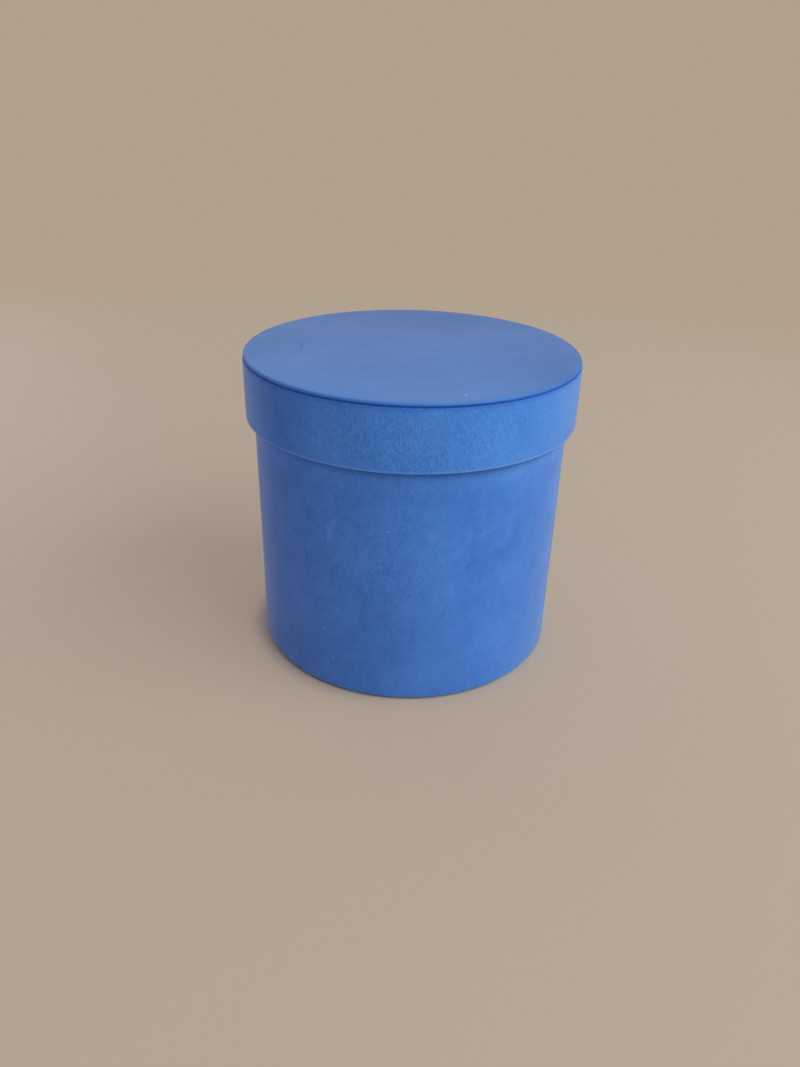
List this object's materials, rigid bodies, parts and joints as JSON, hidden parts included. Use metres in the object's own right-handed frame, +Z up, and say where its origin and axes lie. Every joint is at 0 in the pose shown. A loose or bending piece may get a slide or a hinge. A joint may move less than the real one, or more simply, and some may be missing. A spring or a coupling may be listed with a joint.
{
  "type": "velvet box",
  "caption": "Round keepsake box of greyboard covered in blue velvet: a tube-walled body with a telescoping lid that lifts straight off.",
  "frame": {"origin": "centre of the base, on the surface that the box stands on", "axes": "+Z up, along the axis that the lid lifts along; the velvet's butt seams are at the back, at +Y"},
  "size_m": [0.16, 0.16, 0.15],
  "materials": {
    "velvet": "short cut pile, matte with a soft sheen at grazing angles",
    "greyboard": "raw grey paperboard",
    "lining_paper": "uncoated off-white lining paper",
    "base_card": "smooth dark blue card"
  },
  "bodies": {
    "box": {"body_tube": "greyboard", "body_velvet": "velvet", "body_lining": "lining_paper", "base_board": "greyboard", "base_lining": "lining_paper", "base_cover": "base_card"},
    "lid": {"lid_ring": "greyboard", "lid_ring_velvet": "velvet", "lid_ring_lining": "lining_paper", "lid_disc": "greyboard", "lid_disc_lining": "lining_paper", "lid_top_card": "greyboard", "lid_top_velvet": "velvet"}
  },
  "joints": [
    {"name": "lid_lift", "type": "slide", "parent": "box", "child": "lid", "axis": [0, 0, 1], "range_m": [0, 0.1]}
  ]
}
